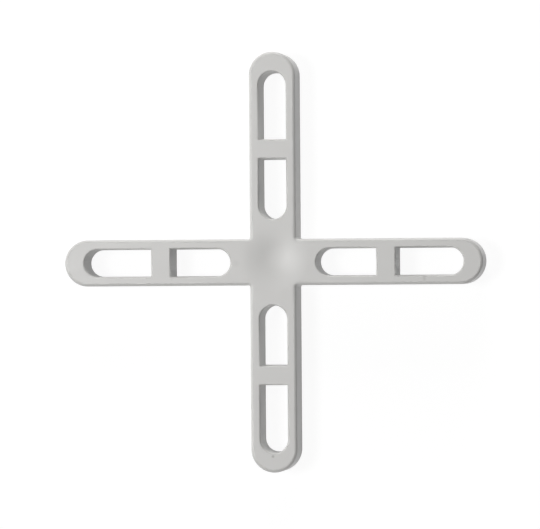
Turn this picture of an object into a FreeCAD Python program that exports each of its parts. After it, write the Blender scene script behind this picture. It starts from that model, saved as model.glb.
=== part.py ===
import FreeCAD, Part
import math
import os

# Tile spacer: a cross of four equal arms, moulded in one piece from hard plastic
# It is pushed into the gap where four tile corners meet, and its arms keep both gaps even
# Each arm is cored out by an inner and an outer slot, with a bridge left between them
# The origin is the middle of the flat back face, +Z points out of the rounded front face,
# and the arms lie along X and Y

# Overall sizes, in millimetres
joint_width = 5.0
arm_reach = 22.75
depth = 5.0

# Walls left round the slots, measured at the front face
rail_width = 1.0
hub_web = 2.15
inner_slot_length = 6.55
bridge_width = 2.1
tip_web = 2.1

# Draft of the slot walls, which lean in towards the back, in degrees
slot_draft = 0.5

# Roundings: the front edge of the cross, the slot rims, and the upright inner corners
front_edge_radius = 0.3
slot_rim_radius = 0.15
hub_corner_radius = 0.2

# The thick hub shrank as it cooled, which left a shallow sink in the front face, off its middle
sink_depth = 0.16
sink_steepest_at = 1.4
sink_off_centre_x = 0.15
sink_off_centre_y = 0.5
sink_clear_of_slots = 0.1

# Worked out from the sizes above
half_width = joint_width / 2
slot_half_width = half_width - rail_width
slot_inset_at_back = depth * math.tan(math.radians(slot_draft))
inner_slot_start = half_width + hub_web
inner_slot_end = inner_slot_start + inner_slot_length
outer_slot_start = inner_slot_end + bridge_width
outer_slot_end = arm_reach - tip_web
outer_slot_length = outer_slot_end - outer_slot_start
sink_radius = inner_slot_start - slot_rim_radius - sink_off_centre_y - sink_clear_of_slots

ARM_TURNS = (0, 90, 180, 270)
ON_FACE = 1e-4
CENTRE = FreeCAD.Vector(0, 0, 0)
UP = FreeCAD.Vector(0, 0, 1)


def line(start, end):
    return Part.LineSegment(start, end).toShape()


def arc(start, middle, end):
    return Part.Arc(start, middle, end).toShape()


def turned(shape, angle):
    """Copy of a shape turned about the middle of the cross."""
    copy = shape.copy()
    copy.rotate(CENTRE, UP, angle)
    return copy


def arm_edges():
    """Outline of the arm along +X, up to where the next arm begins."""
    side_start = FreeCAD.Vector(half_width + hub_corner_radius, -half_width, 0)
    tip_start = FreeCAD.Vector(arm_reach - half_width, -half_width, 0)
    tip = FreeCAD.Vector(arm_reach, 0, 0)
    tip_end = FreeCAD.Vector(arm_reach - half_width, half_width, 0)
    side_end = FreeCAD.Vector(half_width + hub_corner_radius, half_width, 0)
    corner_centre = side_end + FreeCAD.Vector(0, hub_corner_radius, 0)
    corner_middle = corner_centre - FreeCAD.Vector(1, 1, 0).normalize() * hub_corner_radius
    next_arm = corner_centre - FreeCAD.Vector(hub_corner_radius, 0, 0)
    return [
        line(side_start, tip_start),
        arc(tip_start, tip, tip_end),
        line(tip_end, side_end),
        arc(side_end, corner_middle, next_arm),
    ]


def cross_blank():
    """The cross without its slots, with upright walls that gauge the tile gap."""
    edges = [turned(edge, angle) for angle in ARM_TURNS for edge in arm_edges()]
    return Part.Face(Part.Wire(edges)).extrude(FreeCAD.Vector(0, 0, depth))


def slot_core(length):
    """Drafted core of one slot, from its full-round end at the origin to its square end."""
    half_at_front = slot_half_width
    half_at_back = slot_half_width - slot_inset_at_back
    round_end = Part.makeCone(half_at_back, half_at_front, depth, FreeCAD.Vector(half_at_front, 0, 0), UP)
    # The wedge is drawn along Y, from its back to its front, and then stood up
    straight = Part.makeWedge(
        half_at_front, 0, -half_at_back, -half_at_front, half_at_front,
        length - slot_inset_at_back, depth, half_at_back, half_at_front, length,
    )
    straight.rotate(CENTRE, FreeCAD.Vector(1, 0, 0), 90)
    return round_end.fuse(straight)


def arm_cores():
    """Cores of both slots in the arm along +X, with their square ends at the bridge."""
    inner = slot_core(inner_slot_length)
    inner.translate(FreeCAD.Vector(inner_slot_start, 0, 0))
    outer = turned(slot_core(outer_slot_length), 180)
    outer.translate(FreeCAD.Vector(outer_slot_end, 0, 0))
    return inner, outer


def sink_tool():
    """Turned dish of two arcs, flat in its middle and tangent to the front face."""
    steepest = 2 * math.atan(sink_depth / sink_radius)

    def at(x, z):
        return FreeCAD.Vector(x, 0, z)

    def halfway(width):
        """From the level end of an arc to its middle, where the arc spans a width."""
        arc_radius = width / math.sin(steepest)
        half = steepest / 2
        return at(arc_radius * math.sin(half), arc_radius * (1 - math.cos(half)))

    bottom = at(0, depth - sink_depth)
    between = bottom + at(sink_steepest_at, sink_steepest_at * math.tan(steepest / 2))
    rim = at(sink_radius, depth)
    rim_above = at(sink_radius, depth + sink_depth)
    axis_above = at(0, depth + sink_depth)
    profile = Part.Wire([
        arc(bottom, bottom + halfway(sink_steepest_at), between),
        arc(between, rim - halfway(sink_radius - sink_steepest_at), rim),
        line(rim, rim_above),
        line(rim_above, axis_above),
        line(axis_above, bottom),
    ])
    dish = Part.Face(profile).revolve(CENTRE, UP, 360)
    dish.translate(FreeCAD.Vector(sink_off_centre_x, sink_off_centre_y, 0))
    return dish


def front_face(solid):
    """The flat face that lies at the full depth, before the sink parts it into four."""
    return next(face for face in solid.Faces if face.BoundBox.ZMin > depth - ON_FACE)


def spacer():
    cores = [turned(core, angle) for angle in ARM_TURNS for core in arm_cores()]
    solid = cross_blank().cut(cores)
    solid = solid.makeFillet(front_edge_radius, front_face(solid).OuterWire.Edges)
    face = front_face(solid)
    rims = [edge for wire in face.Wires if not wire.isSame(face.OuterWire) for edge in wire.Edges]
    solid = solid.makeFillet(slot_rim_radius, rims)
    return solid.cut(sink_tool())


os.makedirs("parts", exist_ok=True)
spacer().exportStep("parts/spacer_cross.step")
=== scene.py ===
import math

import bmesh
import bpy
from mathutils import Matrix, Vector


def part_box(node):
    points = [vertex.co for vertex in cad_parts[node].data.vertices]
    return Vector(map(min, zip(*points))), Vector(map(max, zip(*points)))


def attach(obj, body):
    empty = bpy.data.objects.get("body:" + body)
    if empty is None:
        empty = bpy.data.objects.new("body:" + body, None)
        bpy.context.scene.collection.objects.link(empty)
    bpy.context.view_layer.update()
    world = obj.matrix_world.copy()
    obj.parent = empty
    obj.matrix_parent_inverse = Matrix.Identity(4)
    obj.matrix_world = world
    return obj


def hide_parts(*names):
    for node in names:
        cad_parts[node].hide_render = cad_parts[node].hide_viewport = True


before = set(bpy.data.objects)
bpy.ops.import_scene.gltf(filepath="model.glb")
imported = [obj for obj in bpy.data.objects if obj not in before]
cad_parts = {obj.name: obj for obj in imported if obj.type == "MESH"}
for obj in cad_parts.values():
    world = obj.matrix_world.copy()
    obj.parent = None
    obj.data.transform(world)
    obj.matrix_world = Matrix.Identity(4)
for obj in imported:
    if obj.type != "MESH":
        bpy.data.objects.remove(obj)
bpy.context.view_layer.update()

# A cross-shaped tile spacer, moulded in one piece from off-white plastic, on a plain pale floor
# Units are metres, the back face lies on the floor and the arms lie along X and Y
MM = 0.001
spacer_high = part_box("spacer_cross")[1]

# Overall sizes. The reach and the depth come from the frame
arm_reach = spacer_high.x
depth = spacer_high.z
joint_width = 5.0 * MM

# Walls left round the slots, measured at the front face
rail_width = 1.0 * MM
hub_web = 2.15 * MM
inner_slot_length = 6.55 * MM
bridge_width = 2.1 * MM
tip_web = 2.1 * MM

# Draft of the slot walls, which lean in towards the back
slot_draft = math.radians(0.5)

# Roundings of the front edge, the slot rims, the upright inner corners and the back edges
front_edge_radius = 0.3 * MM
slot_rim_radius = 0.15 * MM
hub_corner_radius = 0.2 * MM
back_edge_break = 0.04 * MM

# The thick hub shrank as it cooled, which left a shallow sink in the front face, off its middle
sink_depth = 0.16 * MM
sink_steepest_at = 1.4 * MM
sink_centre = Vector((0.15 * MM, 0.5 * MM))
sink_clear_of_slots = 0.1 * MM

# Worked out from the sizes above
half_width = joint_width / 2
slot_half_width = half_width - rail_width
slot_inset_at_back = depth * math.tan(slot_draft)
inner_slot_start = half_width + hub_web
inner_slot_end = inner_slot_start + inner_slot_length
outer_slot_start = inner_slot_end + bridge_width
outer_slot_end = arm_reach - tip_web
inner_round_centre = inner_slot_start + slot_half_width
outer_round_centre = outer_slot_end - slot_half_width
hub_corner_centre = half_width + hub_corner_radius
sink_radius = inner_slot_start - slot_rim_radius - sink_centre.y - sink_clear_of_slots

# Smoothness of the curves, in steps
TIP_STEPS = 24
SLOT_END_STEPS = 16
HUB_CORNER_STEPS = 4
FRONT_EDGE_STEPS = 6
SLOT_RIM_STEPS = 5
BACK_EDGE_STEPS = 2
FLOOR_EDGE_STEPS = 64

# Squares of the hub's front, which take the curve of the sink and stop short of the slot rims
HUB_GRID_STEP = 0.2 * MM
HUB_GRID_CLEAR_OF_SLOTS = 1.25 * slot_rim_radius
HUB_GRID_REACH = inner_slot_start - HUB_GRID_CLEAR_OF_SLOTS

# Places nearer than this are the same place, and shorter edges than a sliver are closed up
NEAR = 0.001 * MM
SLIVER = 0.025 * MM

# A slanting direction, along which no two corners come level
SLANT = Vector((1.0, 1.37, 1.93))

# The upward part of a normal is under the first on a wall and over the second on a level face
WALL_TILT = 0.1
LEVEL_TILT = 0.9

# The plastic: its colour where it is palest and darkest, and its gloss
PALE_PLASTIC = (0.597, 0.591, 0.577)
DULL_PLASTIC = (0.583, 0.578, 0.563)
MIDDLE_ROUGHNESS = 0.39
ROUGHNESS_SPREAD = 0.08
PLASTIC_IOR = 1.5

# How large the uneven patches of its surface are, and how high the two that are relief
MOTTLE_SIZE = 7.0 * MM
GLOSS_PATCH_SIZE = 1.4 * MM
WAVE_SIZE = 3.6 * MM
WAVE_HEIGHT = 0.006 * MM
GRAIN_SIZE = 0.16 * MM
GRAIN_HEIGHT = 0.0012 * MM

# The dark colour of the marks of use, and of a patch of painted shade
GRIME_AND_SHADE = (0.13, 0.12, 0.1)

# The floor as it lights the spacer, and as it looks: nearly white, with a faint shadow
WHITE = (1, 1, 1, 1)
FLOOR_COLOUR = (0.5, 0.5, 0.5)
FLOOR_SHADE = (0.1, 0.1, 0.1)
FLOOR_GLOW = 0.94
FLOOR_RADIUS = 1.2
GAP_UNDER_SPACER = 0.02 * MM


class Outline:
    """A chain of edges drawn in the XY plane by moving and turning its last vertex."""

    def __init__(self, mesh, x, y):
        self.mesh = mesh
        self.corners = [mesh.verts.new((x, y, 0))]

    def line(self, x, y):
        made = bmesh.ops.extrude_vert_indiv(self.mesh, verts=self.corners[-1:])
        end = made["verts"][0]
        end.co = (x, y, 0)
        self.corners.append(end)

    def arc(self, centre, angle, steps):
        """Goes round a centre by an angle in degrees, anticlockwise where it is positive."""
        bmesh.ops.spin(
            self.mesh, geom=self.corners[-1:], cent=(*centre, 0), axis=(0, 0, 1),
            angle=math.radians(angle), steps=steps,
        )
        self.mesh.verts.ensure_lookup_table()
        self.corners += self.mesh.verts[-steps:]

    def close(self):
        """Joins the ends and fills the outline with one face."""
        return self.mesh.faces.new(self.corners)


def along(point):
    """How far out along its arm a point lies."""
    return max(abs(point.x), abs(point.y))


def across(point):
    """How far a point lies from the middle line of its arm."""
    return min(abs(point.x), abs(point.y))


def on_slot(point):
    """True for a point on the wall or the rim of a slot, and not on the outside of the cross."""
    within = inner_slot_start - NEAR < along(point) < outer_slot_end + NEAR
    return within and across(point) < slot_half_width + NEAR


def draw_half_arm(mesh):
    """The half of the arm along +X with positive Y, from the middle of the hub to the tip."""
    outline = Outline(mesh, 0, 0)
    outline.line(inner_slot_start, 0)
    outline.arc((inner_round_centre, 0), -90, SLOT_END_STEPS)
    outline.line(inner_slot_end, slot_half_width)
    outline.line(inner_slot_end, 0)
    outline.line(outer_slot_start, 0)
    outline.line(outer_slot_start, slot_half_width)
    outline.line(outer_round_centre, slot_half_width)
    outline.arc((outer_round_centre, 0), -90, SLOT_END_STEPS)
    outline.line(arm_reach, 0)
    outline.arc((arm_reach - half_width, 0), 90, TIP_STEPS)
    outline.line(hub_corner_centre, half_width)
    outline.arc((hub_corner_centre, hub_corner_centre), -45, HUB_CORNER_STEPS)
    return outline.close()


def draft_slots(mesh):
    """Leans the slot walls in towards the back, square ends and round ends alike."""
    shrink = 1 - slot_inset_at_back / slot_half_width
    for corner in mesh.verts:
        if corner.co.z > NEAR or not on_slot(corner.co):
            continue
        inner = corner.co.x < inner_slot_end + NEAR
        round_centre = inner_round_centre if inner else outer_round_centre
        square_end = inner_slot_end if inner else outer_slot_start
        from_centre = corner.co.x - round_centre
        if from_centre * (square_end - round_centre) < 0:
            corner.co.x = round_centre + from_centre * shrink
        elif abs(corner.co.x - square_end) < NEAR:
            corner.co.x -= math.copysign(slot_inset_at_back, square_end - round_centre)
        corner.co.y *= shrink


def on_a_seam(face):
    """True for a wall on the middle line of an arm, or on the diagonal between two arms."""
    places = [corner.co for corner in face.verts]
    on_middle = all(abs(place.y) < NEAR for place in places)
    on_diagonal = all(abs(place.x - place.y) < NEAR for place in places)
    return on_middle or on_diagonal


def only_vertices(items):
    return [item for item in items if isinstance(item, bmesh.types.BMVert)]


def cross_blank(mesh):
    """The cross with its drafted slots, before any edge is rounded."""
    back = draw_half_arm(mesh)
    made = bmesh.ops.extrude_face_region(mesh, geom=[back], use_keep_orig=True)
    bmesh.ops.translate(mesh, verts=only_vertices(made["geom"]), vec=(0, 0, depth))
    draft_slots(mesh)
    seams = [face for face in mesh.faces if on_a_seam(face)]
    bmesh.ops.delete(mesh, geom=seams, context="FACES")
    half_arm = mesh.verts[:] + mesh.edges[:] + mesh.faces[:]
    bmesh.ops.mirror(mesh, geom=half_arm, axis="Y", merge_dist=NEAR)
    arm = mesh.verts[:] + mesh.edges[:] + mesh.faces[:]
    for angle in (90, 180, 270):
        made = bmesh.ops.duplicate(mesh, geom=arm)
        turn = Matrix.Rotation(math.radians(angle), 3, "Z")
        bmesh.ops.rotate(mesh, verts=only_vertices(made["geom"]), matrix=turn)
    bmesh.ops.remove_doubles(mesh, verts=mesh.verts, dist=NEAR)
    bmesh.ops.recalc_face_normals(mesh, faces=mesh.faces)


def sharp_edges(mesh, height, wanted):
    """Edges at one height between a level face and a wall."""
    found = []
    for edge in mesh.edges:
        at_height = all(abs(corner.co.z - height) < NEAR for corner in edge.verts)
        tilts = sorted(abs(face.normal.z) for face in edge.link_faces)
        if at_height and tilts[0] < WALL_TILT and tilts[-1] > LEVEL_TILT and wanted(edge):
            found.append(edge)
    return found


def round_edges(mesh, edges, radius, steps):
    bmesh.ops.bevel(
        mesh, geom=edges, offset=radius, offset_type="OFFSET", affect="EDGES", segments=steps,
        profile=0.5, material=-1, loop_slide=True, face_strength_mode="AFFECTED",
    )


def round_all_edges(mesh):
    """Rounds the front edge and the slot rims, and takes the sharpness off the back edges."""
    def is_rim(edge):
        return all(on_slot(corner.co) for corner in edge.verts)

    rims = sharp_edges(mesh, depth, is_rim)
    round_edges(mesh, rims, slot_rim_radius, SLOT_RIM_STEPS)
    outside = sharp_edges(mesh, depth, lambda edge: not is_rim(edge))
    round_edges(mesh, outside, front_edge_radius, FRONT_EDGE_STEPS)
    back = sharp_edges(mesh, 0, lambda edge: True)
    round_edges(mesh, back, back_edge_break, BACK_EDGE_STEPS)


def front_faces(mesh, reach):
    """Faces of the front and its roundings, out to a reach from the hub, with their edges."""
    faces = []
    for face in mesh.faces:
        height = min(corner.co.z for corner in face.verts)
        in_front = height > depth - front_edge_radius - NEAR
        if in_front and along(face.calc_center_median()) < reach:
            faces.append(face)
    edges = {edge for face in faces for edge in face.edges}
    corners = {corner for face in faces for corner in face.verts}
    return faces + list(edges) + list(corners)


def along_slant(corner):
    """Cutting leaves the order of the corners to chance, and this puts them in a fixed one."""
    return corner.co.dot(SLANT)


def cut_hub_grid(mesh):
    """Divides the front of the hub finely enough to take the curve of the sink."""
    axes = (Vector((1, 0, 0)), Vector((0, 1, 0)))
    for axis in axes:
        for side in (-1, 1):
            front = front_faces(mesh, arm_reach)
            place = axis * side * HUB_GRID_REACH
            bmesh.ops.bisect_plane(mesh, geom=front, plane_co=place, plane_no=axis, dist=NEAR)
    # The seams between the arms meet in the middle of the hub, and go before the grid comes
    middle = min(mesh.verts, key=lambda corner: (corner.co - Vector((0, 0, depth))).length)
    bmesh.ops.dissolve_edges(mesh, edges=middle.link_edges[:], use_verts=False)
    count = round(2 * HUB_GRID_REACH / HUB_GRID_STEP)
    for axis in axes:
        for step in range(1, count):
            hub = front_faces(mesh, HUB_GRID_REACH)
            place = axis * HUB_GRID_REACH * (2 * step / count - 1)
            bmesh.ops.bisect_plane(mesh, geom=hub, plane_co=place, plane_no=axis, dist=NEAR)
    hub = only_vertices(front_faces(mesh, HUB_GRID_REACH))
    hub.sort(key=along_slant)
    bmesh.ops.remove_doubles(mesh, verts=hub, dist=SLIVER)


def sink_at(distance):
    """Depth of the sink, which is two curves that meet smoothly where it is steepest."""
    share = min(distance / sink_radius, 1)
    steepest = sink_steepest_at / sink_radius
    if share < steepest:
        return sink_depth * (1 - share ** 2 / steepest)
    return sink_depth * (1 - share) ** 2 / (1 - steepest)


def press_sink(mesh):
    """Lets the front of the hub down, and the roundings beside it by as much as they reach up."""
    rounding_foot = depth - front_edge_radius
    for corner in mesh.verts:
        if corner.co.z > rounding_foot:
            share = (corner.co.z - rounding_foot) / front_edge_radius
            corner.co.z -= share * sink_at((corner.co.xy - sink_centre).length)


def finished(mesh, name, material):
    """Turns a drawn mesh into an object of the scene."""
    data = bpy.data.meshes.new(name)
    mesh.to_mesh(data)
    mesh.free()
    data.materials.append(material)
    made = bpy.data.objects.new(name, data)
    bpy.context.scene.collection.objects.link(made)
    return made


def spacer_piece(plastic):
    """The whole spacer as one closed mesh, in the place of the CAD solid."""
    mesh = bmesh.new()
    cross_blank(mesh)
    round_all_edges(mesh)
    cut_hub_grid(mesh)
    press_sink(mesh)
    for face in mesh.faces:
        face.smooth = True
    piece = finished(mesh, "moulded_cross", plastic)
    shading = piece.modifiers.new("flat_faces_stay_flat", "WEIGHTED_NORMAL")
    shading.use_face_influence = True
    shading.keep_sharp = True
    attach(piece, "root")
    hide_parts("spacer_cross")


class Signal:
    """A shader socket that takes part in sums like a number."""

    def __init__(self, shader, socket):
        self.shader = shader
        self.socket = socket

    def __add__(self, other):
        return self.shader.maths("ADD", self, other)

    def __sub__(self, other):
        return self.shader.maths("SUBTRACT", self, other)

    def __rsub__(self, other):
        return self.shader.maths("SUBTRACT", other, self)

    def __mul__(self, other):
        return self.shader.maths("MULTIPLY", self, other)

    __radd__ = __add__
    __rmul__ = __mul__


class Shader:
    """A material or a world, whose nodes are made and linked one call at a time."""

    def __init__(self, owner):
        owner.use_nodes = True
        self.tree = owner.node_tree
        self.tree.nodes.clear()

    def node(self, kind, settings=None, inputs=None, output=0):
        """Makes a node, sets it up, fills its sockets, and gives the socket asked for."""
        made = self.tree.nodes.new(kind)
        for name, value in (settings or {}).items():
            setattr(made, name, value)
        for name, value in (inputs or {}).items():
            if isinstance(value, Signal):
                self.tree.links.new(value.socket, made.inputs[name])
            else:
                made.inputs[name].default_value = value
        return Signal(self, made.outputs[output]) if made.outputs else made

    def maths(self, operation, first, second):
        return self.node("ShaderNodeMath", {"operation": operation}, {0: first, 1: second})

    def mix(self, share, first, second):
        """A colour between two. A Mix node keeps its colours in sockets 6 and 7 and output 2."""
        colours = {0: share, 6: first, 7: second}
        return self.node("ShaderNodeMix", {"data_type": "RGBA"}, colours, output=2)

    def unevenness(self, place, size, detail=2):
        """Noise from 0 to 1 whose patches are about as wide as the size."""
        pattern = {"Vector": place, "Scale": 1 / size, "Detail": detail}
        return self.node("ShaderNodeTexNoise", None, pattern)


def grime_and_shade_spot(shader, place, colour, centre, radius, strength):
    """Darkens a soft round spot on the front face, a mark of dirt or a patch of painted shade, whose
    middle and radius are in millimetres.
    """
    middle = Vector((*centre, 0)) * MM + Vector((0, 0, depth))
    distance = {"operation": "DISTANCE"}
    away = shader.node("ShaderNodeVectorMath", distance, {0: place, 1: middle}, output="Value")
    spot = shader.node("ShaderNodeMapRange", {"interpolation_type": "SMOOTHSTEP"}, {
        "Value": away,
        "From Min": radius * MM,
        "From Max": 0,
    })
    return shader.mix(spot * strength, colour, (*GRIME_AND_SHADE, 1))


def plastic_colour(shader, place):
    """Off-white with a faint mottling, a few marks of use on the front, and a patch of painted shade
    beside the hub.
    """
    mottling = shader.unevenness(place, MOTTLE_SIZE)
    colour = shader.mix(mottling, (*DULL_PLASTIC, 1), (*PALE_PLASTIC, 1))
    # A double smudge on the lower rail of the right arm, with a fainter one beside it
    colour = grime_and_shade_spot(shader, place, colour, centre=(16.41, -1.67), radius=0.3, strength=0.17)
    colour = grime_and_shade_spot(shader, place, colour, centre=(16.43, -1.95), radius=0.3, strength=0.17)
    colour = grime_and_shade_spot(shader, place, colour, centre=(14.98, -2.17), radius=0.2, strength=0.07)
    # A dark speck under the lowest slot
    colour = grime_and_shade_spot(shader, place, colour, centre=(-0.13, -21.0), radius=0.24, strength=0.5)
    # Two faint dots on the left arm, and a patch of painted shade at its root, beside the sink in
    # the hub
    colour = grime_and_shade_spot(shader, place, colour, centre=(-21.98, -1.48), radius=0.16, strength=0.1)
    colour = grime_and_shade_spot(shader, place, colour, centre=(-11.07, -1.83), radius=0.16, strength=0.1)
    # Painted shade: the root of the left arm is darkened as the slope of the sink would shade it
    return grime_and_shade_spot(shader, place, colour, centre=(-4.01, -0.11), radius=0.6, strength=0.07)


def plastic_relief(shader, place):
    """The gentle waves of a moulded face, with the fine grain of the mould on them."""
    waves = shader.node("ShaderNodeBump", None, {
        "Height": shader.unevenness(place, WAVE_SIZE, detail=0),
        "Distance": WAVE_HEIGHT,
    })
    return shader.node("ShaderNodeBump", None, {
        "Height": shader.unevenness(place, GRAIN_SIZE),
        "Distance": GRAIN_HEIGHT,
        "Normal": waves,
    })


def moulded_plastic():
    """Satin off-white plastic."""
    material = bpy.data.materials.new("moulded_plastic")
    shader = Shader(material)
    place = shader.node("ShaderNodeTexCoord", output="Object")
    gloss_patches = shader.unevenness(place, GLOSS_PATCH_SIZE)
    surface = shader.node("ShaderNodeBsdfPrincipled", None, {
        "Base Color": plastic_colour(shader, place),
        "Roughness": (gloss_patches - 0.5) * ROUGHNESS_SPREAD + MIDDLE_ROUGHNESS,
        "IOR": PLASTIC_IOR,
        "Normal": plastic_relief(shader, place),
    })
    shader.node("ShaderNodeOutputMaterial", None, {"Surface": surface})
    return material


def seen_directly(shader):
    """Is 1 where the camera sees or a surface mirrors the background, and 0 where it only lights."""
    path = "ShaderNodeLightPath"
    camera = shader.node(path, output="Is Camera Ray")
    mirrored = shader.node(path, output="Is Glossy Ray")
    through = shader.node(path, output="Is Transmission Ray")
    either = shader.maths("MAXIMUM", camera, mirrored)
    return shader.maths("MAXIMUM", either, through)


def pale_floor():
    """Plain floor that looks white and still takes the shadow of the spacer."""
    material = bpy.data.materials.new("pale_floor")
    shader = Shader(material)
    paper = shader.node("ShaderNodeBsdfDiffuse", None, {"Color": (*FLOOR_COLOUR, 1)})
    shadow = shader.node("ShaderNodeBsdfDiffuse", None, {"Color": (*FLOOR_SHADE, 1)})
    glow = shader.node("ShaderNodeEmission", None, {"Color": WHITE, "Strength": FLOOR_GLOW})
    white = shader.node("ShaderNodeAddShader", None, {0: shadow, 1: glow})
    ways = {0: seen_directly(shader), 1: paper, 2: white}
    both = shader.node("ShaderNodeMixShader", None, ways)
    shader.node("ShaderNodeOutputMaterial", None, {"Surface": both})
    mesh = bmesh.new()
    bmesh.ops.create_circle(mesh, cap_ends=True, segments=FLOOR_EDGE_STEPS, radius=FLOOR_RADIUS)
    bmesh.ops.translate(mesh, verts=mesh.verts, vec=(0, 0, -GAP_UNDER_SPACER))
    finished(mesh, "floor", material)


def white_room():
    """Surroundings that look white and give no light of their own."""
    world = bpy.data.worlds.new("room")
    bpy.context.scene.world = world
    shader = Shader(world)
    white = shader.node("ShaderNodeBackground", None, {"Color": WHITE, "Strength": 1})
    both = shader.node("ShaderNodeMixShader", None, {0: seen_directly(shader), 2: white})
    shader.node("ShaderNodeOutputWorld", None, {"Surface": both})


def globe_lamp(name, azimuth, zenith, distance, radius, power):
    """Soft round lamp. Azimuth turns from +X towards +Y, and zenith down from +Z, in degrees."""
    lamp = bpy.data.lights.new(name, "POINT")
    lamp.shadow_soft_size = radius
    lamp.energy = power
    holder = bpy.data.objects.new(name, lamp)
    tilt = Matrix.Rotation(math.radians(zenith), 3, "Y")
    turn = Matrix.Rotation(math.radians(azimuth), 3, "Z")
    holder.location = turn @ tilt @ Vector((0, 0, distance))
    holder.visible_camera = False
    bpy.context.scene.collection.objects.link(holder)


def studio_lamps():
    """A main lamp high at the left, and three low ones that graze the front face."""
    globe_lamp("main_lamp", azimuth=180, zenith=20, distance=0.62, radius=0.073, power=7.75)
    globe_lamp("left_side_lamp", azimuth=180, zenith=80, distance=0.6, radius=0.1, power=5.6)
    globe_lamp("upper_side_lamp", azimuth=90, zenith=72, distance=0.32, radius=0.08, power=2.7)
    globe_lamp("lower_side_lamp", azimuth=270, zenith=80, distance=0.6, radius=0.1, power=3.0)


def photo_camera():
    """Camera of the photograph: far off, a little to the right of straight above the hub."""
    frame_width = 58.364 * MM
    distance = 554.0 * MM
    to_the_right = math.radians(6.89)
    to_the_top = math.radians(-0.11)
    roll = math.radians(-0.4)
    aim = Vector((-0.309 * MM, -0.246 * MM, depth))
    back = Vector((math.tan(to_the_right), math.tan(to_the_top), 1)).normalized()
    right = Vector((0, 1, 0)).cross(back).normalized()
    up = back.cross(right)
    data = bpy.data.cameras.new("photo_camera")
    data.lens = data.sensor_width * distance / frame_width
    data.clip_start = 10.0 * MM
    camera = bpy.data.objects.new("photo_camera", data)
    turn = Matrix((right, up, back)).transposed() @ Matrix.Rotation(roll, 3, "Z")
    camera.matrix_world = Matrix.Translation(aim + back * distance) @ turn.to_4x4()
    bpy.context.scene.collection.objects.link(camera)
    bpy.context.scene.camera = camera


bpy.context.scene.view_settings.view_transform = "Standard"
spacer_piece(moulded_plastic())
pale_floor()
white_room()
studio_lamps()
photo_camera()
